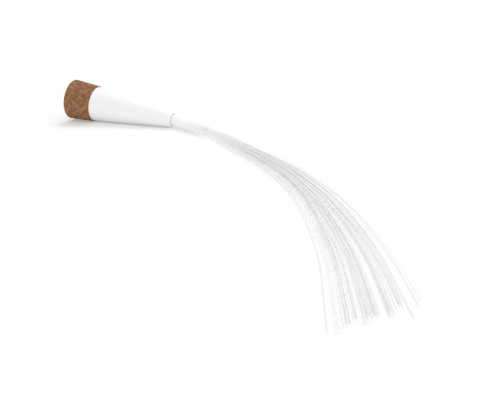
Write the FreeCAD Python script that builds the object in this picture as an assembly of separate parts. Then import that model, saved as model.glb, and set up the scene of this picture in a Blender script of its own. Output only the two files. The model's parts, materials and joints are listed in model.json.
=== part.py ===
import FreeCAD, Part
import math
import os
import random

# A fibre-optic bottle light: a cork-shaped cap on a white tapered body, with a bundle of clear
# plastic optical fibres coming out of the body's nose. It lies on a table, as it does out of its
# bottle. Millimetres. The lamp is built on its own axis, the local X axis: x = 0 is the seam
# between cap and body, the cap lies at x < 0 and the nose at x > 0. It is then tilted until the
# cap's edge and the nose touch the table, which is z = 0. The fibres are laid out on the table.
# The origin is the middle of the footprint.

V = FreeCAD.Vector

# ---- cork cap ----
CORK_LENGTH = 19.0
CORK_END_D = 28.0
CORK_SEAM_D = 25.3
CORK_EDGE_ROUND = 0.6
CAP_GAP = 0.2  # between the cap's mouth and the body's rim
LINER_WALL = 1.0
LINER_FLOOR = 0.8
LINER_GLUE_GAP = 0.05  # radial, between the cork and its liner
LINER_CLEARANCE = 0.10  # radial, between the liner and the collar that it slides over
TIP_CLEARANCE = 0.5  # between the plug's tip and the liner's floor

# ---- tapered body ----
BODY_LENGTH = 60.0
BODY_SEAM_D = 24.3
BODY_NOSE_D = 10.6
BODY_WALL = 1.4
BODY_RIM_ROUND = 0.3
NOSE_ROUND = 1.0
NOSE_BORE_D = 8.0
NOSE_BORE_LENGTH = 4.0
COUNTERBORE_D = 21.4
COUNTERBORE_DEPTH = 5.0

# ---- bulkhead, which closes the body behind the plug ----
BULKHEAD_GLUE_GAP = 0.05  # radial, in the counterbore
BULKHEAD_PLATE = 2.4
SKIRT_BORE_D = 18.8

# ---- switch collar, which the cap turns ----
COLLAR_D = 16.4
COLLAR_WALL = 1.5
COLLAR_REACH = 3.5  # how far it stands out of the bulkhead
COLLAR_RUNNING_GAP = 0.05  # radial, in the bulkhead's bore
COLLAR_THRUST_GAP = 0.1
FLANGE_D = 18.2
FLANGE_THICK = 1.2
SWITCH_TRAVEL_DEG = 30.0
LUG_WIDTH_DEG = 16.0
LUG_HEIGHT = 0.7
LUG_GAP_DEG = 1.0
LUG_GAP = 0.2
KEY_COUNT = 2
KEY_WIDTH = 2.2
KEY_HEIGHT = 0.8
KEY_CLEARANCE = 0.12
KEY_LENGTH = 1.5
O_RING_SECTION = 1.0
O_RING_X = -1.0
O_RING_GAP = 0.03  # between the ring and its groove or the liner

# ---- USB plug ----
PLUG_WIDTH = 12.0
PLUG_HEIGHT = 4.5
PLUG_REACH = 11.8  # beyond the collar's face
PLUG_SHEET = 0.3
TONGUE_WIDTH = 11.2
TONGUE_THICK = 1.9
TONGUE_SETBACK = 0.6
PLUG_BLOCK_LENGTH = 6.0
CONTACT_COUNT = 4
CONTACT_WIDTH = 1.0
CONTACT_PITCH = 2.5
CONTACT_THICK = 0.2
CONTACT_LENGTH = 7.5
LATCH_HOLE = (2.2, 2.5)  # along and across the plug
LATCH_SPREAD = 5.0
LATCH_SETBACK = 4.2
PART_GAP = 0.05  # between small parts that are pressed or glued together

# ---- circuit board ----
BOARD_D = 19.7
BOARD_THICK = 1.0
BOARD_SCREW_R = 5.2
BOARD_SCREW_DEG = 45.0  # from +Y towards +Z, with the second screw opposite
SCREW_D = 1.4
SCREW_CLEARANCE = 0.15
SCREW_HEAD_D = 2.4
SCREW_HEAD_THICK = 0.8
SCREW_LENGTH = 3.4  # under the head
SCREW_SLOT = (0.35, 0.35)  # width and depth of the driver slot
PILOT_SPARE = 0.2  # the pilot hole's depth beyond the screw
PAD_INNER_D = 15.4
PAD_OUTER_D = 17.4
PAD_THICK = 0.1
PAD_ARC_DEG = 40.0
PAD_COUNT = 2
WIPER_ARC_DEG = 24.0
WIPER_THICK = 0.2
WIPER_TRACK_GAP = 0.05
WIPER_CENTRE_DEG = 90.0
CHIP = (1.5, 5.0, 4.0)  # height, then across and up the board
CHIP_PLACE = (0.0, 0.0)
SMALL_PARTS = (  # place across and up the board, then height, width and length
    (5.4, 1.0, 0.6, 1.6, 0.8),
    (5.4, -0.4, 0.6, 1.6, 0.8),
    (5.2, -2.2, 1.2, 2.0, 1.3),
    (-5.4, 2.4, 1.1, 1.3, 2.9),
    (-5.2, -0.6, 0.6, 1.6, 0.8),
)
CHARGE_LED = (5.0, -5.0, 0.7, 0.8, 1.6)

# ---- cradle and cell ----
STANDOFF_D = 3.2
STANDOFF_LENGTH = 2.0
CRADLE_PLATE = 1.6
CRADLE_PLATE_D = 18.8
RAIL_THICK = 0.85
RAIL_HALF_HEIGHT = 3.2
CELL_D = 10.0
CELL_LENGTH = 28.0
CELL_BUTTON_D = 3.6
CELL_BUTTON_HEIGHT = 0.6
CELL_GAP = 0.1
TAB_THICK = 0.2
TAB_WIDTH = 3.0
CELL_CHAMFER = 0.4

# ---- light end ----
SEAT_GAP = 0.4  # between the cell's rear tab and the LED seat
SEAT_THICK = 1.4
LED_BOARD_D = 11.6
LED_BOARD_THICK = 1.0
LED_SIDE = 3.5
LED_THICK = 1.0
LED_DOME_R = 1.2
REFLECTOR_LENGTH = 5.0
REFLECTOR_WIDE_D = 8.6
REFLECTOR_WALL = 1.0
REFLECTOR_FLANGE_D = 11.0
REFLECTOR_FLANGE_THICK = 0.8
FERRULE_D = 8.5

# ---- leads from the circuit board to the LED board ----
LEAD_D = 0.6
LEAD_BOARD_R = 7.6  # where they leave the circuit board, from the axis
LEAD_CELL_GAP = 0.1
LEAD_STRAIGHT = 1.5  # past the cradle's plate, before they bend towards the cell
LEAD_BEND = 7.0  # along the cell, until they lie beside it
LEAD_HOLE_GAP = 0.15
LEAD_SIDES = (("lead_red", 118.0), ("lead_black", 62.0))  # degrees from +Y towards +Z

# ---- fibre bundle ----
FIBRE_D = 0.5
FIBRE_PITCH = 0.535
FIBRE_RINGS = 6  # rings of the hexagonal pack round the middle fibre: 127 fibres in all
FIBRE_LENGTH = 300.0  # from the potted end
LENGTH_SPREAD = 5.0  # how much shorter than its tuft's longest fibre one may be
POT_LENGTH = 7.8
SLEEVE_WALL = 0.25
SLEEVE_CLEARANCE = 0.075  # radial, round the fibres
SLEEVE_PRESS_GAP = 0.05  # radial, between the sleeve and the ferrule
SLEEVE_END_RUN = 0.5  # of the run to the last point that is held together
TUFT_SIZE = 10  # neighbouring fibres that are kept together in one file
TABLE_GAP = 0.03  # under the lowest fibres

# The bundle's middle line on the table, as (x, y) from the seam. It is held together at the
# first points, and the sleeve ends before the last of them. At the others it opens: the fan's
# two edges beside the middle line, how much of the room between them is shared out among the
# fibres, and how far each two layers of fibres have settled into one.
HELD_ROUTE = ((77.8, -7.4), (89.3, -15.6), (96.0, -20.8))
FAN_ROUTE = (
    (104.7, -27.6, -5.6, 5.6, 0.15, 0.0),
    (123.2, -43.6, -6.0, 6.3, 0.40, 0.0),
    (143.9, -62.2, -6.2, 7.4, 0.70, 0.0),
    (163.0, -82.6, -7.6, 10.6, 0.90, 0.0),
    (184.5, -111.1, -9.3, 14.5, 1.00, 0.35),
    (202.2, -143.4, -11.5, 17.3, 1.00, 0.7),
    (217.7, -176.7, -13.2, 18.5, 1.00, 1.0),
    (231.7, -213.6, -16.9, 18.8, 1.00, 1.0),
)
STRAIGHT_OUT = 3.0  # how far the bundle leaves the nose before it bends
ARC_SHARE = 0.45  # of the shorter of two runs, which the arc between them takes up
SHORTEST_RUN = 12.0  # of a fibre's last run
LAYER_PITCH = 0.52  # between the fan's layers
FIBRE_WANDER = 0.3  # of the room between two fibres of a level
LEAST_SHARE = 0.0175  # of the fan's width, between fibres of two layers in one level
# The tufts that the open fan falls into: each one's middle and width, as shares of the fan's
# width, and how much shorter its fibres are.
TUFTS = (
    (0.01, 0.015, 0.0),
    (0.11, 0.035, 0.0),
    (0.195, 0.08, 2.0),
    (0.285, 0.05, 5.0),
    (0.355, 0.03, 0.0),
    (0.465, 0.16, 3.0),
    (0.635, 0.05, 1.0),
    (0.70, 0.015, 5.0),
    (0.765, 0.06, 5.0),
    (0.825, 0.02, -3.0),
    (0.94, 0.025, 4.0),
    (0.99, 0.015, 6.0),
)
# By level, the fibre at its far edge: how far out it strays at each point of the fan's route, and
# how much shorter it is.
STRAYS = {
    3: ((0.0, 0.2, 1.2, 3.0, 4.2, 3.6, 2.0, 0.5), 0.0),
    5: ((0.1, 1.0, 3.2, 5.3, 6.5, 6.5, 6.5, 6.5), 112.0),
}
NO_STRAY = (0.0,) * len(FAN_ROUTE), 0.0
SHAPE_SEED = 5


# ---------------------------------------------------------------- plain solids on the lamp's axis


def disc(x0, x1, diameter):
    return Part.makeCylinder(diameter / 2, x1 - x0, V(x0, 0, 0), V(1, 0, 0))


def ring(x0, x1, outer, inner):
    return disc(x0, x1, outer).cut(disc(x0 - 1, x1 + 1, inner))


def block(x0, x1, y0, y1, z0, z1):
    return Part.makeBox(x1 - x0, y1 - y0, z1 - z0, V(x0, y0, z0))


def centred(x0, x1, y, z, width, height):
    return block(x0, x1, y - width / 2, y + width / 2, z - height / 2, z + height / 2)


def frustum(x0, x1, d0, d1):
    return Part.makeCone(d0 / 2, d1 / 2, x1 - x0, V(x0, 0, 0), V(1, 0, 0))


def turned(shape, degrees):
    """The shape turned about the lamp's axis, from +Y towards +Z."""
    copy = shape.copy()
    copy.rotate(V(0, 0, 0), V(1, 0, 0), degrees)
    return copy


def sector(x0, x1, outer, inner, middle_deg, width_deg):
    """A piece of a ring, with its middle at an angle from +Y towards +Z."""
    profile = Part.makePlane(x1 - x0, (outer - inner) / 2, V(x0, inner / 2, 0))
    piece = profile.revolve(V(0, 0, 0), V(1, 0, 0), width_deg)
    return turned(piece, middle_deg - width_deg / 2)


def rounded_edge(shape, radius, x, diameter):
    """The shape with its round edge at this x and diameter rounded."""
    edges = []
    for edge in shape.Edges:
        curve = edge.Curve
        if isinstance(curve, Part.Circle):
            same_place = abs(curve.Center.x - x) < 1e-4
            if same_place and abs(curve.Radius - diameter / 2) < 1e-4:
                edges.append(edge)
    return shape.makeFillet(radius, edges)


# ---------------------------------------------------------------- places along the lamp's axis

BODY_SLOPE = (BODY_SEAM_D - BODY_NOSE_D) / 2 / BODY_LENGTH
CORK_SLOPE = (CORK_END_D - CORK_SEAM_D) / 2 / (CORK_LENGTH - CAP_GAP)

COLLAR_FACE = -COLLAR_REACH
PLUG_TIP = COLLAR_FACE - PLUG_REACH
LINER_INSIDE_END = PLUG_TIP - TIP_CLEARANCE
LINER_END = LINER_INSIDE_END - LINER_FLOOR
LINER_BORE_D = COLLAR_D + 2 * LINER_CLEARANCE
LINER_D = LINER_BORE_D + 2 * LINER_WALL

FLANGE_FRONT = BULKHEAD_PLATE + COLLAR_THRUST_GAP
FLANGE_BACK = FLANGE_FRONT + FLANGE_THICK
BOARD_FRONT = COUNTERBORE_DEPTH
BOARD_BACK = BOARD_FRONT + BOARD_THICK
PLATE_FRONT = BOARD_BACK + STANDOFF_LENGTH
PLATE_BACK = PLATE_FRONT + CRADLE_PLATE
BUTTON_TIP = PLATE_BACK + TAB_THICK
CELL_FRONT = BUTTON_TIP + CELL_BUTTON_HEIGHT
CELL_BACK = CELL_FRONT + CELL_LENGTH
SEAT_FRONT = CELL_BACK + TAB_THICK + SEAT_GAP
SEAT_BACK = SEAT_FRONT + SEAT_THICK
LED_BOARD_BACK = SEAT_BACK + LED_BOARD_THICK
REFLECTOR_END = LED_BOARD_BACK + REFLECTOR_LENGTH
NOSE_LEDGE = BODY_LENGTH - NOSE_BORE_LENGTH
POT_FRONT = REFLECTOR_END
POT_BACK = POT_FRONT + POT_LENGTH

BUNDLE_D = 2 * FIBRE_RINGS * FIBRE_PITCH + FIBRE_D
SLEEVE_BORE_D = BUNDLE_D + 2 * SLEEVE_CLEARANCE
SLEEVE_D = SLEEVE_BORE_D + 2 * SLEEVE_WALL
FERRULE_BORE_D = SLEEVE_D + 2 * SLEEVE_PRESS_GAP
RAIL_BORE_D = CELL_D + 2 * CELL_GAP
RAIL_D = RAIL_BORE_D + 2 * RAIL_THICK


def body_diameter(x):
    return BODY_SEAM_D - 2 * BODY_SLOPE * x


def body_bore(x):
    return body_diameter(x) - 2 * BODY_WALL


# ---------------------------------------------------------------- cap


def cork_cap():
    cork = frustum(-CORK_LENGTH, -CAP_GAP, CORK_END_D, CORK_SEAM_D)
    cork = rounded_edge(cork, CORK_EDGE_ROUND, -CORK_LENGTH, CORK_END_D)
    cork = rounded_edge(cork, CORK_EDGE_ROUND, -CAP_GAP, CORK_SEAM_D)
    return cork.cut(disc(LINER_END - PART_GAP, 1, LINER_D + 2 * LINER_GLUE_GAP))


def cap_liner():
    cup = disc(LINER_END, -CAP_GAP, LINER_D)
    cup = cup.cut(disc(LINER_INSIDE_END, 1, LINER_BORE_D))
    key_top = COLLAR_D / 2 - KEY_HEIGHT + KEY_CLEARANCE
    for k in range(KEY_COUNT):
        key = centred(
            COLLAR_FACE,
            COLLAR_FACE + KEY_LENGTH - KEY_CLEARANCE,
            (key_top + LINER_BORE_D / 2 + LINER_WALL / 2) / 2,
            0,
            LINER_BORE_D / 2 + LINER_WALL / 2 - key_top,
            KEY_WIDTH - 2 * KEY_CLEARANCE,
        )
        cup = cup.fuse(turned(key, 90 + k * 360 / KEY_COUNT))
    return cup.removeSplitter()


# ---------------------------------------------------------------- collar


def switch_collar():
    collar = disc(COLLAR_FACE, FLANGE_BACK, COLLAR_D)
    collar = collar.fuse(disc(FLANGE_FRONT, FLANGE_BACK, FLANGE_D))
    lug_top = FLANGE_D + 2 * LUG_HEIGHT
    lug_middle = 180 + LUG_WIDTH_DEG / 2
    lug = sector(FLANGE_FRONT, FLANGE_BACK, lug_top, COLLAR_D, lug_middle, LUG_WIDTH_DEG)
    collar = collar.fuse(lug).removeSplitter()
    collar = collar.cut(disc(COLLAR_FACE - 1, FLANGE_BACK + 1, COLLAR_D - 2 * COLLAR_WALL))
    groove_half = O_RING_SECTION / 2 + O_RING_GAP
    groove_floor = LINER_BORE_D - 2 * (O_RING_SECTION + 2 * O_RING_GAP)
    groove = ring(O_RING_X - groove_half, O_RING_X + groove_half, COLLAR_D + 2, groove_floor)
    collar = collar.cut(groove)
    for k in range(KEY_COUNT):
        floor = COLLAR_D / 2 - KEY_HEIGHT
        keyway = block(
            COLLAR_FACE - 1, COLLAR_FACE + KEY_LENGTH, floor, COLLAR_D, -KEY_WIDTH / 2, KEY_WIDTH / 2
        )
        collar = collar.cut(turned(keyway, 90 + k * 360 / KEY_COUNT))
    return collar


def collar_o_ring():
    middle_r = LINER_BORE_D / 2 - O_RING_GAP - O_RING_SECTION / 2
    return Part.makeTorus(middle_r, O_RING_SECTION / 2, V(O_RING_X, 0, 0), V(1, 0, 0))


def switch_wiper():
    strip = sector(
        FLANGE_BACK, FLANGE_BACK + WIPER_THICK, PAD_OUTER_D, PAD_INNER_D, WIPER_CENTRE_DEG, WIPER_ARC_DEG
    )
    tip_r = (PAD_OUTER_D + PAD_INNER_D) / 4
    tip_end = BOARD_FRONT - PAD_THICK - WIPER_TRACK_GAP
    pip = Part.makeCylinder(0.35, tip_end - FLANGE_BACK - 0.35, V(FLANGE_BACK, tip_r, 0), V(1, 0, 0))
    pip = pip.fuse(Part.makeSphere(0.35, V(tip_end - 0.35, tip_r, 0)))
    for side in (-1, 1):
        strip = strip.fuse(turned(pip, WIPER_CENTRE_DEG + side * WIPER_ARC_DEG / 3))
    return strip.removeSplitter()


# ---------------------------------------------------------------- body


def tapered_body():
    body = frustum(0, BODY_LENGTH, BODY_SEAM_D, BODY_NOSE_D)
    body = rounded_edge(body, BODY_RIM_ROUND, 0, BODY_SEAM_D)
    body = rounded_edge(body, NOSE_ROUND, BODY_LENGTH, BODY_NOSE_D)
    body = body.cut(disc(-1, COUNTERBORE_DEPTH, COUNTERBORE_D))
    hollow_d = body_bore(COUNTERBORE_DEPTH), body_bore(NOSE_LEDGE)
    body = body.cut(frustum(COUNTERBORE_DEPTH, NOSE_LEDGE, *hollow_d))
    return body.cut(disc(NOSE_LEDGE - 1, BODY_LENGTH + 1, NOSE_BORE_D))


def bulkhead():
    plug = disc(0, COUNTERBORE_DEPTH, COUNTERBORE_D - 2 * BULKHEAD_GLUE_GAP)
    plug = plug.cut(disc(-1, BULKHEAD_PLATE + 1, COLLAR_D + 2 * COLLAR_RUNNING_GAP))
    plug = plug.cut(disc(BULKHEAD_PLATE, COUNTERBORE_DEPTH + 1, SKIRT_BORE_D))
    lug_room = FLANGE_D + 2 * LUG_HEIGHT + 2 * LUG_GAP
    swing = LUG_WIDTH_DEG + SWITCH_TRAVEL_DEG + 2 * LUG_GAP_DEG
    middle = 180 - LUG_GAP_DEG + swing / 2
    recess = sector(BULKHEAD_PLATE, COUNTERBORE_DEPTH + 1, lug_room, FLANGE_D, middle, swing)
    return plug.cut(recess)


# ---------------------------------------------------------------- plug and circuit board


def usb_shell():
    shell = centred(PLUG_TIP, BOARD_FRONT, 0, 0, PLUG_WIDTH, PLUG_HEIGHT)
    inner = PLUG_WIDTH - 2 * PLUG_SHEET, PLUG_HEIGHT - 2 * PLUG_SHEET
    shell = shell.cut(centred(PLUG_TIP - 1, BOARD_FRONT + 1, 0, 0, *inner))
    along, across = LATCH_HOLE
    start = PLUG_TIP + LATCH_SETBACK
    for side in (-1, 1):
        hole = centred(start, start + along, side * LATCH_SPREAD / 2, 0, across, PLUG_HEIGHT + 2)
        shell = shell.cut(hole)
    return shell


def usb_tongue():
    bottom = -PLUG_HEIGHT / 2 + PLUG_SHEET + PART_GAP
    half = TONGUE_WIDTH / 2
    tongue = block(PLUG_TIP + TONGUE_SETBACK, BOARD_FRONT, -half, half, bottom, bottom + TONGUE_THICK)
    base_start = BOARD_FRONT - PLUG_BLOCK_LENGTH
    base = block(base_start, BOARD_FRONT, -half, half, bottom, -bottom)
    return tongue.fuse(base).removeSplitter()


def usb_contacts():
    bottom = -PLUG_HEIGHT / 2 + PLUG_SHEET + PART_GAP + TONGUE_THICK
    start = PLUG_TIP + TONGUE_SETBACK + 0.4
    first = -(CONTACT_COUNT - 1) / 2 * CONTACT_PITCH
    strips = []
    for k in range(CONTACT_COUNT):
        y = first + k * CONTACT_PITCH
        half = CONTACT_WIDTH / 2
        strips.append(
            block(start, start + CONTACT_LENGTH, y - half, y + half, bottom, bottom + CONTACT_THICK)
        )
    return Part.makeCompound(strips)


def at_screws(shape):
    """Copies of a shape on the lamp's axis, moved to the two board screws."""
    copies = []
    for k in range(2):
        angle = math.radians(BOARD_SCREW_DEG + 180 * k)
        copy = shape.copy()
        copy.translate(V(0, BOARD_SCREW_R * math.cos(angle), BOARD_SCREW_R * math.sin(angle)))
        copies.append(copy)
    return copies


def circuit_board():
    board = disc(BOARD_FRONT, BOARD_BACK, BOARD_D)
    hole = disc(BOARD_FRONT - 1, BOARD_BACK + 1, SCREW_D + 2 * SCREW_CLEARANCE)
    return board.cut(at_screws(hole))


def switch_pads():
    pads = []
    for k in range(PAD_COUNT):
        middle = WIPER_CENTRE_DEG + k * PAD_ARC_DEG
        width = PAD_ARC_DEG - 2
        pads.append(
            sector(BOARD_FRONT - PAD_THICK, BOARD_FRONT, PAD_OUTER_D, PAD_INNER_D, middle, width)
        )
    return Part.makeCompound(pads)


def on_board(y, z, height, width, length):
    return centred(BOARD_BACK, BOARD_BACK + height, y, z, width, length)


def charge_chip():
    height, width, length = CHIP
    y, z = CHIP_PLACE
    standing = 0.15
    chip = centred(BOARD_BACK + standing, BOARD_BACK + height, y, z, width, length)
    legs = []
    for side in (-1, 1):
        for k in range(4):
            leg_z = z + (k - 1.5) * 0.9
            leg_y = y + side * (width / 2 + 0.3)
            legs.append(centred(BOARD_BACK, BOARD_BACK + 0.5, leg_y, leg_z, 0.6, 0.35))
    return chip.multiFuse(legs).removeSplitter()


def board_components():
    return Part.makeCompound([on_board(*part) for part in SMALL_PARTS])


def charge_led():
    return on_board(*CHARGE_LED)


def board_screws():
    head_front = BOARD_FRONT - SCREW_HEAD_THICK
    screw = disc(BOARD_FRONT, BOARD_FRONT + SCREW_LENGTH, SCREW_D)
    screw = screw.fuse(disc(head_front, BOARD_FRONT, SCREW_HEAD_D)).removeSplitter()
    width, depth = SCREW_SLOT
    slot = centred(head_front - 1, head_front + depth, 0, 0, SCREW_HEAD_D + 1, width)
    return Part.makeCompound(at_screws(screw.cut(slot)))


# ---------------------------------------------------------------- cradle and cell


def strap_top():
    """How far from the axis the straps of the cell's tabs run."""
    return CELL_D / 2 + PART_GAP


def lead_beside_r():
    """How far from the axis the leads run beside the cell."""
    return CELL_D / 2 + LEAD_CELL_GAP + LEAD_D / 2


def cell_cradle():
    plate = disc(PLATE_FRONT, PLATE_BACK, CRADLE_PLATE_D)
    rails = ring(PLATE_BACK, SEAT_FRONT, RAIL_D, RAIL_BORE_D)
    side = RAIL_D
    rails = rails.common(
        block(PLATE_BACK, SEAT_FRONT, -side, side, -RAIL_HALF_HEIGHT, RAIL_HALF_HEIGHT)
    )
    seat = disc(SEAT_FRONT, SEAT_BACK, RAIL_D)
    bosses = at_screws(disc(BOARD_BACK, PLATE_FRONT, STANDOFF_D))
    cradle = plate.multiFuse([rails, seat, *bosses]).removeSplitter()
    pilot_end = BOARD_FRONT + SCREW_LENGTH + PILOT_SPARE
    cradle = cradle.cut(at_screws(disc(BOARD_BACK - 1, pilot_end, SCREW_D + 2 * PART_GAP)))
    hole_r = LEAD_D / 2 + LEAD_HOLE_GAP
    beside = lead_beside_r()
    for _, angle in LEAD_SIDES:
        hole = Part.makeCylinder(
            hole_r, CRADLE_PLATE + 2, V(PLATE_FRONT - 1, LEAD_BOARD_R, 0), V(1, 0, 0)
        )
        notch = block(SEAT_FRONT - 1, SEAT_BACK + 1, beside - hole_r, RAIL_D, -hole_r, hole_r)
        cradle = cradle.cut([turned(hole, angle), turned(notch, angle)])
    half = TAB_WIDTH / 2 + PART_GAP
    outside = strap_top() + TAB_THICK + PART_GAP
    slot = block(PLATE_FRONT - 1, PLATE_BACK + 1, -half, half, -outside, -strap_top() + PART_GAP)
    return cradle.cut([slot, turned(slot, 180)])


def lithium_cell():
    can = disc(CELL_FRONT, CELL_BACK, CELL_D)
    can = can.makeChamfer(CELL_CHAMFER, [e for e in can.Edges if isinstance(e.Curve, Part.Circle)])
    return can.fuse(disc(BUTTON_TIP, CELL_FRONT, CELL_BUTTON_D)).removeSplitter()


def front_tab():
    """A nickel strip from the cell's button up and through the cradle's plate to the board."""
    half = TAB_WIDTH / 2
    high = strap_top() + TAB_THICK
    end = block(PLATE_BACK, BUTTON_TIP, -half, half, -CELL_BUTTON_D / 2, high)
    strap = block(BOARD_BACK, BUTTON_TIP, -half, half, strap_top(), high)
    return end.fuse(strap).removeSplitter()


def rear_tab():
    """A nickel strip from the cell's flat end back along the cell to the circuit board."""
    half = TAB_WIDTH / 2
    low = -strap_top() - TAB_THICK
    end = block(CELL_BACK, CELL_BACK + TAB_THICK, -half, half, low, CELL_D / 4)
    strap = block(BOARD_BACK, CELL_BACK + TAB_THICK, -half, half, low, -strap_top())
    return end.fuse(strap).removeSplitter()


# ---------------------------------------------------------------- light end


def led_board():
    return disc(SEAT_BACK, LED_BOARD_BACK, LED_BOARD_D)


def white_led():
    package = centred(LED_BOARD_BACK, LED_BOARD_BACK + LED_THICK, 0, 0, LED_SIDE, LED_SIDE)
    top = LED_BOARD_BACK + LED_THICK
    dome = Part.makeSphere(LED_DOME_R, V(top, 0, 0))
    dome = dome.common(centred(top, top + LED_DOME_R, 0, 0, 2 * LED_SIDE, 2 * LED_SIDE))
    return package.fuse(dome).removeSplitter()


def reflector():
    narrow = SLEEVE_BORE_D
    outer = frustum(
        LED_BOARD_BACK, REFLECTOR_END, REFLECTOR_WIDE_D + 2 * REFLECTOR_WALL, FERRULE_D
    )
    flange = disc(LED_BOARD_BACK, LED_BOARD_BACK + REFLECTOR_FLANGE_THICK, REFLECTOR_FLANGE_D)
    funnel = frustum(LED_BOARD_BACK, REFLECTOR_END, REFLECTOR_WIDE_D, narrow)
    return outer.fuse(flange).removeSplitter().cut(funnel)


def ferrule():
    return ring(REFLECTOR_END, NOSE_LEDGE, FERRULE_D, FERRULE_BORE_D)


def potted_end():
    return disc(POT_FRONT, POT_BACK, SLEEVE_BORE_D - 2 * PART_GAP)


# ---------------------------------------------------------------- tubes along runs and arcs


def arc_trims(points):
    """How much of its two runs the arc at each inner point takes up."""
    runs = [(end - start).Length for start, end in zip(points, points[1:])]
    return [ARC_SHARE * min(pair) for pair in zip(runs, runs[1:])]


def run_and_arc_edges(points, trims):
    """Straight runs through the points, with a tangent arc at each point between two runs."""
    edges = []
    radii = []
    start = points[0]
    for before, corner, after, trim in zip(points, points[1:], points[2:], trims):
        back, ahead = (before - corner).normalize(), (after - corner).normalize()
        half_turn = (math.pi - back.getAngle(ahead)) / 2
        radius = trim / math.tan(half_turn)
        inward = (back + ahead).normalize()
        arc_start, arc_end = corner + back * trim, corner + ahead * trim
        arc_middle = corner + inward * (radius / math.cos(half_turn) - radius)
        edges.append(Part.LineSegment(start, arc_start).toShape())
        edges.append(Part.Arc(arc_start, arc_middle, arc_end).toShape())
        radii.append(radius)
        start = arc_end
    edges.append(Part.LineSegment(start, points[-1]).toShape())
    return edges, radii


def solid_tube(points, diameter, trims):
    """A round solid along the points, with its arcs' radii. Tubes side by side bend alike if
    their arcs have the same trims."""
    edges, radii = run_and_arc_edges(points, trims)
    path = Part.Wire(edges)
    along = points[1] - points[0]
    section = Part.Wire([Part.Circle(points[0], along, diameter / 2).toShape()])
    return path.makePipeShell([section], True, True), radii


# ---------------------------------------------------------------- leads


def leads():
    """The two leads, each straight off the circuit board and then along the cell."""
    made = {}
    for name, angle in LEAD_SIDES:
        points = [
            V(BOARD_BACK, LEAD_BOARD_R, 0),
            V(PLATE_BACK + LEAD_STRAIGHT, LEAD_BOARD_R, 0),
            V(CELL_FRONT + LEAD_BEND, lead_beside_r(), 0),
            V(SEAT_BACK, lead_beside_r(), 0),
        ]
        made[name] = turned(solid_tube(points, LEAD_D, arc_trims(points))[0], angle)
    return made


# ---------------------------------------------------------------- how the lamp lies


def lamp_placement():
    """The lamp's place on the table, resting on the rounds of the cap's mouth and of the nose."""
    cork_x = -CAP_GAP - CORK_EDGE_ROUND
    cork_r = CORK_END_D / 2 - CORK_SLOPE * (cork_x + CORK_LENGTH)
    cork_r -= CORK_EDGE_ROUND / math.cos(math.atan(CORK_SLOPE))
    nose_x = BODY_LENGTH - NOSE_ROUND
    nose_r = body_diameter(nose_x) / 2 - NOSE_ROUND / math.cos(math.atan(BODY_SLOPE))
    along, across = nose_x - cork_x, cork_r - nose_r
    tilt = math.atan2(across, along)
    tilt += math.asin((CORK_EDGE_ROUND - NOSE_ROUND) / math.hypot(along, across))
    lift = cork_x * math.sin(tilt) + cork_r * math.cos(tilt) + CORK_EDGE_ROUND
    turn = FreeCAD.Rotation(V(0, 1, 0), math.degrees(tilt))
    return FreeCAD.Placement(V(0, 0, lift), turn)


LYING = lamp_placement()


def on_axis(x):
    return LYING.multVec(V(x, 0, 0))


# ---------------------------------------------------------------- sleeve and fibres


def middle_line():
    """The bundle's middle line, from the potted end to the tips, and how it is spread there."""
    held_z = SLEEVE_D / 2 + TABLE_GAP
    fan_z = TABLE_GAP + FIBRE_D / 2 + FIBRE_RINGS * LAYER_PITCH
    half = FIBRE_RINGS * FIBRE_PITCH
    packed = -half, half, 0.0, 0.0, FIBRE_PITCH * math.sqrt(3) / 2
    points = [on_axis(POT_BACK), on_axis(BODY_LENGTH + STRAIGHT_OUT)]
    points += [V(x, y, held_z) for x, y in HELD_ROUTE]
    spreads = [packed] * len(points)
    for x, y, low, high, share, settled in FAN_ROUTE:
        points.append(V(x, y, fan_z))
        spreads.append((low, high, share, settled, LAYER_PITCH))
    return points, spreads


def corner_frames(points):
    """At each point, the sideways and upward directions, with the sideways one stretched so
    that a line kept beside the middle line stays at the same distance on both runs."""
    frames = []
    for k in range(len(points)):
        before = points[k] - points[max(k - 1, 0)]
        after = points[min(k + 1, len(points) - 1)] - points[k]
        runs = [V(run).normalize() for run in (before, after) if run.Length > 0]
        along = runs[0] + runs[-1]
        along.normalize()
        side = V(0, 0, 1).cross(along).normalize()
        up = along.cross(side).normalize()
        half_turn = runs[0].getAngle(runs[-1]) / 2
        frames.append((side * (1 / math.cos(half_turn)), up))
    return frames


def place_in_tufts(even):
    """A place in the tufts laid end to end, as a share of the fan's width, and how much shorter
    the fibres are there."""
    ahead = even * sum(width for _, width, _ in TUFTS)
    for middle, width, shorter in TUFTS:
        if ahead <= width:
            break
        ahead -= width
    return middle - width / 2 + ahead, shorter


def fan_shares(count, gap, chance):
    """Where the fibres of a level lie across the open fan, never on each other, and how much
    shorter each is."""
    placed = []
    for k in range(count):
        even = (k + 0.5 + chance.uniform(-FIBRE_WANDER, FIBRE_WANDER)) / count
        placed.append(place_in_tufts(even))
    shares = [share for share, _ in placed]
    least = gap / 2
    for k in range(count):
        shares[k] = max(shares[k], least)
        least = shares[k] + gap
    most = 1 - gap / 2
    for k in reversed(range(count)):
        shares[k] = min(shares[k], most)
        most = shares[k] - gap
    return [(share, shorter) for share, (_, shorter) in zip(shares, placed)]


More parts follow.
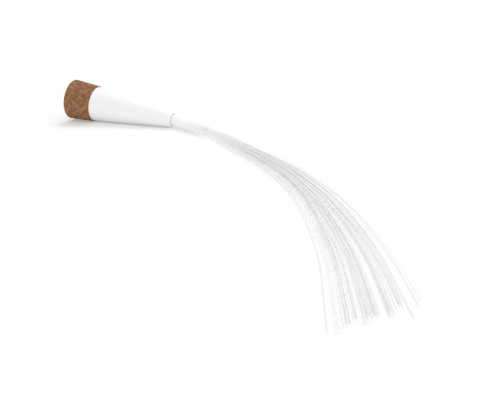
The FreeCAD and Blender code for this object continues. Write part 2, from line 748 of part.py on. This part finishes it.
def fibre_places(chance):
    """The fibres of the hexagonal pack, each with its layer, its place in that layer beside
    the middle line, the level of the open fan that the layer settles to, its share of the
    fan's width, how far it strays from there and how much shorter it is."""
    places = []
    layers = range(-FIBRE_RINGS, FIBRE_RINGS + 1)
    for level in range(FIBRE_RINGS + 1):
        settling = layers[2 * level : 2 * level + 2]
        row = []
        for layer in settling:
            count = 2 * FIBRE_RINGS + 1 - abs(layer)
            row += [((k - (count - 1) / 2) * FIBRE_PITCH, layer) for k in range(count)]
        row.sort()
        shares = fan_shares(len(row), 2 * LEAST_SHARE / len(settling), chance)
        strays = [NO_STRAY] * (len(row) - 1) + [STRAYS.get(level, NO_STRAY)]
        for (packed, layer), (share, shorter), (stray, cut) in zip(row, shares, strays):
            places.append((layer, packed, level, share, stray, shorter + cut))
    return places


def fibre_points(place, line, chance):
    """A fibre's points and how far it lies beside the middle line where the fan is widest."""
    layer, packed, level, fan_share, strays, shorter = place
    length = FIBRE_LENGTH - chance.uniform(0, LENGTH_SPREAD) - shorter
    held = (0.0,) * (len(line[0]) - len(strays))
    points = []
    for point, spread, (side, up), stray in zip(*line, held + strays):
        low, high, share, settled, layer_pitch = spread
        together = (low + high) / 2 + packed * (high - low) / (2 * FIBRE_RINGS * FIBRE_PITCH)
        apart = low + (high - low) * fan_share
        beside = (1 - share) * together + share * apart + stray
        layers_up = (1 - settled) * layer + settled * (level - FIBRE_RINGS)
        points.append(point + side * beside + up * (layers_up * layer_pitch))
    return cut_to_length(points, length), beside


def cut_to_length(points, length):
    """The points up to this length along them. A last run that would be too short to bend into
    is laid straight on from the run before it."""
    kept = [points[0]]
    for start, end in zip(points, points[1:]):
        run = end - start
        if run.Length >= length or end is points[-1]:
            break
        length -= run.Length
        kept.append(end)
    if length < SHORTEST_RUN:
        last = kept.pop()
        run = last - kept[-1]
        start = last
    kept.append(start + run.normalize() * length)
    return kept


def all_fibres():
    """Every fibre's solid, in order across the fan, with the tightest radius of all."""
    points, spreads = middle_line()
    line = points, spreads, corner_frames(points)
    chance = random.Random(SHAPE_SEED)
    laid = [fibre_points(place, line, chance) for place in fibre_places(chance)]
    laid.sort(key=lambda fibre: fibre[1])
    solids = []
    tightest = math.inf
    trims = arc_trims(points)
    for route, _ in laid:
        own_trims = [min(pair) for pair in zip(arc_trims(route), trims)]
        solid, radii = solid_tube(route, FIBRE_D, own_trims)
        solids.append(solid)
        tightest = min(tightest, *radii)
    print("fibres:", len(solids), "tightest radius", round(tightest, 1), "mm")
    return solids


def bundle_sleeve():
    points = middle_line()[0]
    held = points[1 : 1 + len(HELD_ROUTE)]
    last = points[1 + len(HELD_ROUTE)]
    end = held[-1] + (last - held[-1]) * SLEEVE_END_RUN
    route = [on_axis(POT_FRONT), *held, end]
    trims = arc_trims(points)
    outer, radii = solid_tube(route, SLEEVE_D, trims)
    inner = solid_tube(route, SLEEVE_BORE_D, trims)[0]
    print("sleeve radii", [round(r, 1) for r in radii], "mm")
    return outer.cut(inner)


# ---------------------------------------------------------------- the whole part


def lamp_parts():
    """Every piece on the lamp's own axis."""
    parts = {
        "cork_cap": cork_cap(),
        "cap_liner": cap_liner(),
        "switch_collar": switch_collar(),
        "collar_o_ring": collar_o_ring(),
        "switch_wiper": switch_wiper(),
        "tapered_body": tapered_body(),
        "bulkhead": bulkhead(),
        "usb_shell": usb_shell(),
        "usb_tongue": usb_tongue(),
        "usb_contacts": usb_contacts(),
        "circuit_board": circuit_board(),
        "switch_pads": switch_pads(),
        "charge_chip": charge_chip(),
        "board_components": board_components(),
        "charge_led": charge_led(),
        "board_screws": board_screws(),
        "cell_cradle": cell_cradle(),
        "lithium_cell": lithium_cell(),
        "cell_tab_front": front_tab(),
        "cell_tab_rear": rear_tab(),
        "led_board": led_board(),
        "white_led": white_led(),
        "reflector": reflector(),
        "ferrule": ferrule(),
        "potted_end": potted_end(),
    }
    parts.update(leads())
    return parts


def main():
    parts = {}
    for name, shape in lamp_parts().items():
        placed = shape.copy()
        placed.Placement = LYING.multiply(placed.Placement)
        parts[name] = placed
    parts["bundle_sleeve"] = bundle_sleeve()
    fibres = all_fibres()
    for start in range(0, len(fibres), TUFT_SIZE):
        name = "fibre_tuft_%02d" % (start // TUFT_SIZE + 1)
        parts[name] = Part.makeCompound(fibres[start : start + TUFT_SIZE])

    whole = Part.makeCompound(list(parts.values())).optimalBoundingBox(True, False)
    to_origin = V(-(whole.XMin + whole.XMax) / 2, -(whole.YMin + whole.YMax) / 2, 0)
    print("seam on the table at", [round(to_origin.x, 3), round(to_origin.y, 3)], "mm")
    os.makedirs("parts", exist_ok=True)
    for name, shape in parts.items():
        placed = shape.copy()
        placed.translate(to_origin)
        placed.exportStep("parts/%s.step" % name)
    print("size", [round(side, 2) for side in (whole.XLength, whole.YLength, whole.ZLength)])


main()
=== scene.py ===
import json
import math

import bpy
from mathutils import Matrix, Vector, noise


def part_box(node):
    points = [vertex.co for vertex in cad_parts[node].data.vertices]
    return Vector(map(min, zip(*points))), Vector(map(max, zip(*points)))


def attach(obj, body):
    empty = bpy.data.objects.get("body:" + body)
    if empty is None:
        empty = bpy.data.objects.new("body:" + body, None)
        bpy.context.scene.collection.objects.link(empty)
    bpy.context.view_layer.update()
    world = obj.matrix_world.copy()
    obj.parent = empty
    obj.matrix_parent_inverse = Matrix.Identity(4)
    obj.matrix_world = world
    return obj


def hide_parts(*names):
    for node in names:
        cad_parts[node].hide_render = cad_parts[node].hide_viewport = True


# The looks of a fibre-optic bottle light that lies on a table: a cork cap, a white tapered body,
# and a bundle of clear optical fibres fanned out from its nose. Metres. Sizes on the lamp itself
# are given along its own axis, from the seam between cap and body: the cap lies at x < 0.

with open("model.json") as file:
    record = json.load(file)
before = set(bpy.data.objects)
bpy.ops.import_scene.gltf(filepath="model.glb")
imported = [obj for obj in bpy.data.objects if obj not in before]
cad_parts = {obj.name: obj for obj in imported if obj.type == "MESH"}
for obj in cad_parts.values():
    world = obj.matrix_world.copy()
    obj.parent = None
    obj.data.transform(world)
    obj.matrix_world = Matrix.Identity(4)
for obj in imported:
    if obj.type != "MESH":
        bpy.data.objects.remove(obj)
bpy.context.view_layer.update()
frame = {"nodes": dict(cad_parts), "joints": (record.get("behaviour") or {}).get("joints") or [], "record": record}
nodes = frame["nodes"]

MM = 0.001
switch = next(joint for joint in frame["joints"] if joint["name"] == "switch")
SEAM = Vector(switch["pos_m"])
AXIS = Vector(switch["axis"]).normalized()
SIDE = Vector((0, 1, 0))
UP = AXIS.cross(SIDE)
ON_LAMP = Matrix.Translation(SEAM) @ Matrix((AXIS, SIDE, UP)).transposed().to_4x4()
TABLE_AT_SEAM = Vector((SEAM.x, SEAM.y, 0))

# ---------------------------------------------------------------- camera

CAMERA_FROM_SEAM = Vector((256.4, -422.46, 118.36)) * MM
CAMERA_TURN = math.radians(18.88)
CAMERA_DOWN = math.radians(21.11)


def make_camera():
    data = bpy.data.cameras.new("camera")
    data.lens = 50
    data.sensor_width = 36
    data.clip_start = 0.01
    data.clip_end = 20
    camera = bpy.data.objects.new("camera", data)
    camera.location = TABLE_AT_SEAM + CAMERA_FROM_SEAM
    camera.rotation_euler = (math.pi / 2 - CAMERA_DOWN, 0, CAMERA_TURN)
    bpy.context.scene.collection.objects.link(camera)
    bpy.context.scene.camera = camera


make_camera()

# ---------------------------------------------------------------- node helpers


class Graph:
    """A material's node tree, with short calls for the nodes that the materials below share."""

    def __init__(self, name):
        self.material = bpy.data.materials.new(name)
        self.material.use_nodes = True
        self.tree = self.material.node_tree
        self.shader = self.tree.nodes["Principled BSDF"]
        self.places = self.add("ShaderNodeTexCoord").outputs["Object"]

    def add(self, kind, **values):
        node = self.tree.nodes.new(kind)
        for key, value in values.items():
            setattr(node, key, value)
        return node

    def link(self, output, socket):
        self.tree.links.new(output, socket)

    def noise(self, per_mm, detail=2.0, roughness=0.5, places=None):
        node = self.add("ShaderNodeTexNoise")
        node.inputs["Scale"].default_value = per_mm / MM
        node.inputs["Detail"].default_value = detail
        node.inputs["Roughness"].default_value = roughness
        self.link(places or self.places, node.inputs["Vector"])
        return node.outputs["Fac"]

    def voronoi(self, per_mm, feature="F1", output="Distance"):
        node = self.add("ShaderNodeTexVoronoi", feature=feature)
        node.inputs["Scale"].default_value = per_mm / MM
        self.link(self.places, node.inputs["Vector"])
        return node.outputs[output]

    def ramp(self, value, *stops):
        """Stops are (position, colour); the colour is three numbers or one grey."""
        node = self.add("ShaderNodeValToRGB")
        elements = node.color_ramp.elements
        while len(elements) < len(stops):
            elements.new(0.5)
        for element, (position, colour) in zip(elements, stops):
            element.position = position
            if isinstance(colour, (int, float)):
                colour = (colour, colour, colour)
            element.color = (*colour, 1)
        self.link(value, node.inputs["Fac"])
        return node.outputs["Color"]

    def mix(self, factor, first, second, blend="MIX"):
        node = self.add("ShaderNodeMix", data_type="RGBA", blend_type=blend)
        sockets = node.inputs[0], node.inputs[6], node.inputs[7]
        for socket, value in zip(sockets, (factor, first, second)):
            if hasattr(value, "is_linked"):
                self.link(value, socket)
            elif isinstance(value, (int, float)):
                socket.default_value = value
            else:
                socket.default_value = (*value, 1)
        return node.outputs[2]

    def spread(self, value, low, high, start=0.0, end=1.0):
        """From low to high while the value goes from start to end."""
        node = self.add("ShaderNodeMapRange")
        node.inputs["From Min"].default_value = start
        node.inputs["From Max"].default_value = end
        node.inputs["To Min"].default_value = low
        node.inputs["To Max"].default_value = high
        self.link(value, node.inputs["Value"])
        return node.outputs["Result"]

    def along_x(self):
        split = self.add("ShaderNodeSeparateXYZ")
        self.link(self.places, split.inputs["Vector"])
        return split.outputs["X"]

    def bump(self, height, depth_mm, strength=1.0):
        node = self.add("ShaderNodeBump")
        node.inputs["Distance"].default_value = depth_mm * MM
        node.inputs["Strength"].default_value = strength
        self.link(height, node.inputs["Height"])
        self.link(node.outputs["Normal"], self.shader.inputs["Normal"])


# ---------------------------------------------------------------- materials


def shaded(colour, factor):
    return tuple(min(channel * factor, 1) for channel in colour)


def moulded(name, colour, roughness=0.4, grain_mm=0.25, depth_mm=0.01, spread=0.05):
    """Moulded plastic: a faint uneven tone and a fine spark-eroded grain."""
    g = Graph(name)
    tone = g.noise(0.15, 3)
    g.link(g.ramp(tone, (0.3, shaded(colour, 1 - spread)), (0.7, shaded(colour, 1 + spread))),
           g.shader.inputs["Base Color"])
    grain = g.noise(1 / grain_mm, 2)
    g.link(g.spread(grain, roughness - 0.05, roughness + 0.08), g.shader.inputs["Roughness"])
    g.bump(grain, depth_mm)
    return g


def rolled_metal(name, colour, roughness=0.3):
    """Sheet or turned metal: bright, with fine lines along the lamp."""
    g = Graph(name)
    stretch = g.add("ShaderNodeMapping")
    stretch.inputs["Scale"].default_value = (0.05, 1, 1)
    g.link(g.places, stretch.inputs["Vector"])
    lines = g.noise(6, 3, places=stretch.outputs["Vector"])
    g.link(g.ramp(lines, (0.3, shaded(colour, 0.88)), (0.7, shaded(colour, 1.08))),
           g.shader.inputs["Base Color"])
    g.link(g.spread(lines, roughness - 0.08, roughness + 0.1), g.shader.inputs["Roughness"])
    g.shader.inputs["Metallic"].default_value = 1
    g.bump(lines, 0.004)
    return g


GRANULES_PER_MM = 1.1


def cork_material():
    """Agglomerated cork: granules of a few browns, with fine dark pores and seams."""
    g = Graph("cork")
    warp = g.noise(0.5, 2)
    granule = g.voronoi(GRANULES_PER_MM, output="Color")
    tint = g.add("ShaderNodeSeparateColor")
    g.link(granule, tint.inputs["Color"])
    base = g.ramp(tint.outputs["Red"], (0.0, (0.179, 0.08, 0.0376)), (0.45, (0.287, 0.136, 0.0655)),
                  (1.0, (0.416, 0.214, 0.112)))
    cloud = g.ramp(warp, (0.30, 0.90), (0.70, 1.06))
    base = g.mix(1.0, base, cloud, "MULTIPLY")
    seams = g.voronoi(GRANULES_PER_MM, "DISTANCE_TO_EDGE")
    seam_mask = g.ramp(seams, (0.0, 0.84), (0.06, 1.0))
    base = g.mix(1.0, base, seam_mask, "MULTIPLY")
    specks = g.noise(1.0, 4, 0.7)
    speck_mask = g.ramp(specks, (0.32, 0.55), (0.44, 1.0))
    base = g.mix(1.0, base, speck_mask, "MULTIPLY")
    g.link(base, g.shader.inputs["Base Color"])
    g.shader.inputs["Roughness"].default_value = 0.82
    g.shader.inputs["Specular IOR Level"].default_value = 0.15
    g.bump(g.mix(1.0, speck_mask, seam_mask, "MULTIPLY"), 0.05, 0.7)
    return g


def white_body_material():
    """White semi-gloss plastic that lets a little light into itself."""
    g = moulded("white_plastic", (0.90, 0.905, 0.90), 0.3, 0.3, 0.003, 0.01)
    g.shader.inputs["Subsurface Weight"].default_value = 0.15
    g.shader.inputs["Subsurface Radius"].default_value = (0.003, 0.003, 0.0028)
    g.shader.inputs["Subsurface Scale"].default_value = 1.0
    g.shader.inputs["Coat Weight"].default_value = 0.3
    g.shader.inputs["Coat Roughness"].default_value = 0.12
    return g


# Along X: where the fibres start to part, where they lie loose, where the fan is open, and where
# it ends.
PARTING = SEAM.x + 95 * MM
LOOSE = SEAM.x + 135 * MM
OPEN = SEAM.x + 180 * MM
TIPS = SEAM.x + 230 * MM


def fibre_material():
    """Clear drawn plastic. Each fibre is painted a random grey, dark for some and near white for most: painted
    light and shade in place of what a clear fibre refracts from around it.
    Near the nose they lie tight together: they look alike, and light passes on unhindered.
    Towards the tips they show less."""
    g = Graph("optical_fibre")
    x = g.along_x()
    loose = g.spread(x, 0.0, 1.0, PARTING, LOOSE)
    island = g.add("ShaderNodeNewGeometry").outputs["Random Per Island"]
    # Painted light and shade: a random grey for each fibre, in place of the light and dark that it refracts.
    painted_refraction_grey = g.ramp(island, (0.0, (0.30, 0.325, 0.315)), (0.4, (0.88, 0.905, 0.895)),
                 (1.0, (0.97, 0.985, 0.98)))
    streak = g.ramp(g.noise(0.05, 3), (0.3, 0.90), (0.7, 1.0))
    painted_greys_and_streaks = g.mix(1.0, painted_refraction_grey, streak, "MULTIPLY")
    # Near the nose the painted greys are partly mixed into one pale tone; in the fan they show fully.
    colour = g.mix(g.spread(loose, 0.4, 1.0), (0.955, 0.968, 0.962), painted_greys_and_streaks)
    g.link(colour, g.shader.inputs["Base Color"])
    g.link(g.spread(g.noise(0.4, 2), 0.12, 0.3), g.shader.inputs["Roughness"])
    g.link(g.spread(x, 0.155, 0.115, OPEN, TIPS), g.shader.inputs["Alpha"])
    g.shader.inputs["IOR"].default_value = 1.49
    return lets_light_by(g, g.spread(loose, 0.998, 0.9905))


SLEEVE_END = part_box("bundle_sleeve")[1].x
SLEEVE_FADE = 22 * MM


def sleeve_material():
    """Soft milky tube that lets light through, clearer towards its open end."""
    g = Graph("clear_sleeve")
    clear = g.spread(g.along_x(), 0.0, 1.0, SLEEVE_END - SLEEVE_FADE, SLEEVE_END)
    cloud = g.noise(0.12, 3)
    g.link(g.ramp(cloud, (0.3, (0.95, 0.96, 0.955)), (0.7, (0.975, 0.982, 0.978))),
           g.shader.inputs["Base Color"])
    g.link(g.spread(g.noise(0.5, 2), 0.2, 0.32), g.shader.inputs["Roughness"])
    g.link(g.spread(clear, 0.85, 0.2), g.shader.inputs["Alpha"])
    g.shader.inputs["IOR"].default_value = 1.5
    return lets_light_by(g, g.spread(clear, 0.87, 0.99))


def see_through(g, alpha):
    g.shader.inputs["Alpha"].default_value = alpha
    return g


def lets_light_by(g, share):
    """Light goes on behind clear plastic: this share of it, at each surface that it meets."""
    path = g.add("ShaderNodeLightPath")
    clear = g.add("ShaderNodeBsdfTransparent")
    g.link(share, clear.inputs["Color"])
    surface = g.shader.outputs["BSDF"]
    for ray in ("Is Shadow Ray", "Is Diffuse Ray"):
        mix = g.add("ShaderNodeMixShader")
        g.link(path.outputs[ray], mix.inputs[0])
        g.link(surface, mix.inputs[1])
        g.link(clear.outputs["BSDF"], mix.inputs[2])
        surface = mix.outputs["Shader"]
    g.link(surface, g.tree.nodes["Material Output"].inputs["Surface"])
    return g


MATERIALS = {
    "cork": cork_material(),
    "white_plastic": white_body_material(),
    "optical_fibre": fibre_material(),
    "clear_sleeve": sleeve_material(),
    "liner_plastic": moulded("liner_plastic", (0.60, 0.58, 0.54), 0.45),
    "collar_plastic": moulded("collar_plastic", (0.03, 0.03, 0.033), 0.4),
    "o_ring_rubber": moulded("o_ring_rubber", (0.018, 0.018, 0.018), 0.55, 0.1),
    "spring_bronze": rolled_metal("spring_bronze", (0.72, 0.46, 0.24), 0.3),
    "bulkhead_plastic": moulded("bulkhead_plastic", (0.80, 0.80, 0.79), 0.42),
    "plug_steel": rolled_metal("plug_steel", (0.70, 0.70, 0.71), 0.26),
    "plug_insulator": moulded("plug_insulator", (0.85, 0.85, 0.83), 0.4),
    "gold_plate": rolled_metal("gold_plate", (0.90, 0.66, 0.28), 0.22),
    "board_green": moulded("board_green", (0.02, 0.14, 0.05), 0.35, 0.6, 0.02, 0.15),
    "chip_black": moulded("chip_black", (0.02, 0.02, 0.022), 0.5, 0.08),
    "component_ceramic": moulded("component_ceramic", (0.38, 0.27, 0.17), 0.5, 0.1),
    "led_lens_red": see_through(moulded("led_lens_red", (0.72, 0.06, 0.04), 0.2), 0.8),
    "screw_steel": rolled_metal("screw_steel", (0.60, 0.60, 0.61), 0.35),
    "cradle_plastic": moulded("cradle_plastic", (0.74, 0.74, 0.72), 0.45),
    "cell_wrap": moulded("cell_wrap", (0.05, 0.18, 0.42), 0.28, 0.8, 0.004, 0.08),
    "nickel_strip": rolled_metal("nickel_strip", (0.66, 0.63, 0.58), 0.35),
    "red_insulation": moulded("red_insulation", (0.55, 0.02, 0.02), 0.4, 0.2),
    "black_insulation": moulded("black_insulation", (0.02, 0.02, 0.02), 0.4, 0.2),
    "led_board_white": moulded("led_board_white", (0.80, 0.80, 0.79), 0.35, 0.4),
    "led_lens_white": see_through(moulded("led_lens_white", (0.90, 0.78, 0.28), 0.2), 0.9),
    "reflector_mirror": rolled_metal("reflector_mirror", (0.90, 0.90, 0.90), 0.1),
    "ferrule_metal": rolled_metal("ferrule_metal", (0.76, 0.76, 0.77), 0.3),
    "potting_resin": see_through(moulded("potting_resin", (0.84, 0.86, 0.85), 0.18), 0.6),
}

# ---------------------------------------------------------------- pieces as the CAD has them


def dress_nodes():
    for part in frame["record"]["subparts"]:
        mesh = nodes[part["node"]].data
        mesh.materials.clear()
        mesh.materials.append(MATERIALS[part["material_slot"]].material)


dress_nodes()

WELD_MM = 0.002


def weld_fibres():
    """A fibre's CAD mesh is split where a run meets an arc. Welded there, it is one surface that keeps one painted
    grey of light and shade from end to end."""
    for name, node in nodes.items():
        if name.startswith("fibre_tuft"):
            weld = node.modifiers.new("weld", "WELD")
            weld.merge_threshold = WELD_MM * MM


weld_fibres()

# ---------------------------------------------------------------- turned pieces

SHARP_DEG = 38


def turned_mesh(name, profile, segments, dent=None):
    """A closed turned mesh on the lamp's axis. The profile runs from one point to the next as
    (x, r) in millimetres; a point on the axis is one vertex. dent(place) says how far the vertex
    at a place in metres is sunk along its normal, in millimetres."""
    verts = []
    rings = []
    for x, r in profile:
        if r == 0:
            rings.append([len(verts)])
            verts.append(Vector((x, 0, 0)) * MM)
            continue
        rings.append(list(range(len(verts), len(verts) + segments)))
        for k in range(segments):
            angle = 2 * math.pi * k / segments
            verts.append(Vector((x, r * math.cos(angle), r * math.sin(angle))) * MM)
    faces = []
    closed = profile[0][1] > 0
    pairs = list(zip(rings, rings[1:])) + ([(rings[-1], rings[0])] if closed else [])
    for first, second in pairs:
        for k in range(segments):
            n = (k + 1) % segments
            if len(first) == 1:
                faces.append((first[0], second[k], second[n]))
            elif len(second) == 1:
                faces.append((first[k], second[0], first[n]))
            else:
                faces.append((first[k], second[k], second[n], first[n]))
    mesh = bpy.data.meshes.new(name)
    mesh.from_pydata(verts, [], faces)
    mesh.update()
    if dent:
        moved = [v.co - v.normal * dent(v.co) * MM for v in mesh.vertices]
        for vertex, place in zip(mesh.vertices, moved):
            vertex.co = place
    mesh.transform(ON_LAMP)
    mesh.shade_smooth()
    mesh.set_sharp_from_angle(angle=math.radians(SHARP_DEG))
    piece = bpy.data.objects.new(name, mesh)
    bpy.context.scene.collection.objects.link(piece)
    return piece


def rounded(centre_x, centre_r, radius, start_deg, end_deg, steps=6):
    """Points on an arc about a centre, in the x-r plane."""
    points = []
    for k in range(steps + 1):
        angle = math.radians(start_deg + (end_deg - start_deg) * k / steps)
        points.append((centre_x + radius * math.cos(angle), centre_r + radius * math.sin(angle)))
    return points


def stepped(start, end, step):
    """Points from start to end, both left out, about a step apart."""
    (x0, r0), (x1, r1) = start, end
    count = max(int(math.hypot(x1 - x0, r1 - r0) / step), 1)
    return [(x0 + (x1 - x0) * k / count, r0 + (r1 - r0) * k / count) for k in range(1, count)]


# The cap's sizes in millimetres, as in the CAD.
CORK_LENGTH = 19.0
CORK_END_R = 14.0
CORK_SEAM_R = 12.65
CORK_ROUND = 0.6
CAP_GAP = 0.2
CORK_POCKET_R = 9.35
CORK_POCKET_END = -16.65
# How fine its mesh is, and what is sunk into it. A pore is where the noise passes a threshold.
CORK_STEP = 0.4
CORK_SEGMENTS = 260
PORES_PER_MM = 0.9
PORE_THRESHOLD = 0.28
PORE_RISE = 0.4
PORE_DEPTH = 0.08
GRAINS_PER_MM = 2.7
GRAIN_SHIFT = Vector((7, 3, 1))
GRAIN_DEPTH = 0.05
# The dents keep this far from the pocket, and reach this far in at the end face.
DENT_CLEARANCE = 0.3
DENT_REACH = 0.1


def cork_profile():
    slope = math.atan((CORK_END_R - CORK_SEAM_R) / (CORK_LENGTH - CAP_GAP))
    lean = math.degrees(slope)
    end_x, seam_x = -CORK_LENGTH + CORK_ROUND, -CAP_GAP - CORK_ROUND
    reach = CORK_ROUND / math.cos(slope)

    def side_r(x):
        return CORK_END_R - (x + CORK_LENGTH) * math.tan(slope)

    end_round = rounded(end_x, side_r(end_x) - reach, CORK_ROUND, 180, 90 - lean)
    seam_round = rounded(seam_x, side_r(seam_x) - reach, CORK_ROUND, 90 - lean, 0)
    points = [(-CORK_LENGTH, 0.0)]
    points += stepped(points[-1], end_round[0], CORK_STEP)
    points += end_round + stepped(end_round[-1], seam_round[0], CORK_STEP) + seam_round
    points += [(-CAP_GAP, CORK_POCKET_R), (CORK_POCKET_END, CORK_POCKET_R), (CORK_POCKET_END, 0.0)]
    return points


def cork_dent(place):
    """Pores and granule edges. They stop short of the pocket that holds the liner."""
    near_pocket = math.hypot(place.y, place.z) < (CORK_POCKET_R + DENT_CLEARANCE) * MM
    behind_end_face = place.x > -(CORK_LENGTH - DENT_REACH) * MM
    if near_pocket and behind_end_face:
        return 0.0
    pore = noise.noise(place / MM * PORES_PER_MM)
    grain = noise.noise(place / MM * GRAINS_PER_MM + GRAIN_SHIFT)
    pore_depth = PORE_DEPTH * max(pore - PORE_THRESHOLD, 0) / PORE_RISE
    return pore_depth + GRAIN_DEPTH * (grain + 1) / 2


def make_cork():
    cork = turned_mesh("cork", cork_profile(), CORK_SEGMENTS, cork_dent)
    cork.data.materials.append(MATERIALS["cork"].material)
    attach(cork, "cap")
    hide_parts("cork_cap")


# The body's sizes in millimetres, as in the CAD.
BODY_LENGTH = 60.0
BODY_SEAM_R = 12.15
BODY_NOSE_R = 5.3
RIM_ROUND = 0.3
NOSE_ROUND = 1.0
BODY_WALL = 1.4
COUNTERBORE_R = 10.7
COUNTERBORE_DEPTH = 5.0
NOSE_BORE_R = 4.0
NOSE_BORE_LENGTH = 4.0
BODY_STEP = 4.0
BODY_SEGMENTS = 160


def body_profile():
    slope = math.atan((BODY_SEAM_R - BODY_NOSE_R) / BODY_LENGTH)
    lean = math.degrees(slope)

    def side_r(x):
        return BODY_SEAM_R - x * math.tan(slope)

    def round_at(x, radius, start_deg, end_deg):
        return rounded(x, side_r(x) - radius / math.cos(slope), radius, start_deg, end_deg, 8)

    rim = round_at(RIM_ROUND, RIM_ROUND, 180, 90 - lean)
    nose = round_at(BODY_LENGTH - NOSE_ROUND, NOSE_ROUND, 90 - lean, 0)
    ledge = BODY_LENGTH - NOSE_BORE_LENGTH
    inside = [
        (BODY_LENGTH, NOSE_BORE_R),
        (ledge, NOSE_BORE_R),
        (ledge, side_r(ledge) - BODY_WALL),
        (COUNTERBORE_DEPTH, side_r(COUNTERBORE_DEPTH) - BODY_WALL),
        (COUNTERBORE_DEPTH, COUNTERBORE_R),
        (0.0, COUNTERBORE_R),
    ]
    return rim + stepped(rim[-1], nose[0], BODY_STEP) + nose + inside


def make_body():
    body = turned_mesh("white_body", body_profile(), BODY_SEGMENTS)
    body.data.materials.append(MATERIALS["white_plastic"].material)
    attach(body, "lamp")
    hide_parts("tapered_body")


make_cork()
make_body()

# ---------------------------------------------------------------- floor and light

FLOOR_HALF = 3.0
# The paper's values: for the light that it throws back, and as it is seen.
PAPER = {"Base Color": (0.94, 0.66), "Emission Strength": (0.0, 0.294)}


def seen_rays(tree):
    """1 for a ray by which the camera sees a surface: straight, mirrored or through plastic."""
    path = tree.nodes.new("ShaderNodeLightPath")
    seen = path.outputs["Is Camera Ray"]
    for ray in ("Is Glossy Ray", "Is Transmission Ray"):
        either = tree.nodes.new("ShaderNodeMath")
        either.operation = "MAXIMUM"
        tree.links.new(seen, either.inputs[0])
        tree.links.new(path.outputs[ray], either.inputs[1])
        seen = either.outputs[0]
    return seen


def make_floor():
    """White paper. Seen by the camera or in a reflection it is as pale as the background, with
    the object's shadow on it; the light that it throws back is that of white paper."""
    mesh = bpy.data.meshes.new("floor")
    h = FLOOR_HALF
    mesh.from_pydata([(-h, -h, 0), (h, -h, 0), (h, h, 0), (-h, h, 0)], [], [(0, 1, 2, 3)])
    floor = bpy.data.objects.new("floor", mesh)
    bpy.context.scene.collection.objects.link(floor)
    material = bpy.data.materials.new("floor")
    material.use_nodes = True
    tree = material.node_tree
    paper = tree.nodes["Principled BSDF"]
    paper.inputs["Roughness"].default_value = 0.9
    paper.inputs["Specular IOR Level"].default_value = 0.0
    paper.inputs["Emission Color"].default_value = (1, 1, 1, 1)
    seen = seen_rays(tree)
    for socket, (thrown, shown) in PAPER.items():
        value = tree.nodes.new("ShaderNodeMapRange")
        value.inputs["To Min"].default_value = thrown
        value.inputs["To Max"].default_value = shown
        tree.links.new(seen, value.inputs["Value"])
        tree.links.new(value.outputs["Result"], paper.inputs[socket])
    mesh.materials.append(material)


def sun(name, turn_deg, height_deg, angle_deg, strength):
    """A soft light from far away; the turn is its compass direction from +X towards +Y."""
    data = bpy.data.lights.new(name, "SUN")
    data.angle = math.radians(angle_deg)
    data.energy = strength
    light = bpy.data.objects.new(name, data)
    turn, height = math.radians(turn_deg), math.radians(height_deg)
    level = math.cos(height)
    place = Vector((level * math.cos(turn), level * math.sin(turn), math.sin(height)))
    light.location = place
    light.rotation_euler = place.to_track_quat("Z", "Y").to_euler()
    bpy.context.scene.collection.objects.link(light)


ROOM_LIGHT = 0.79


def make_light():
    world = bpy.data.worlds.new("world")
    bpy.context.scene.world = world
    world.use_nodes = True
    tree = world.node_tree
    room = tree.nodes["Background"]
    room.inputs["Color"].default_value = (1, 1, 1, 1)
    room.inputs["Strength"].default_value = ROOM_LIGHT
    white = tree.nodes.new("ShaderNodeBackground")
    white.inputs["Color"].default_value = (1, 1, 1, 1)
    white.inputs["Strength"].default_value = 1
    mix = tree.nodes.new("ShaderNodeMixShader")
    tree.links.new(seen_rays(tree), mix.inputs[0])
    tree.links.new(room.outputs[0], mix.inputs[1])
    tree.links.new(white.outputs[0], mix.inputs[2])
    tree.links.new(mix.outputs[0], tree.nodes["World Output"].inputs["Surface"])
    sun("key", 73, 60, 30, 1.0)
    sun("fill", -62, 5, 60, 0.60)


make_floor()
make_light()
bpy.context.scene.view_settings.view_transform = "Standard"
bpy.context.scene.cycles.transparent_max_bounces = 128
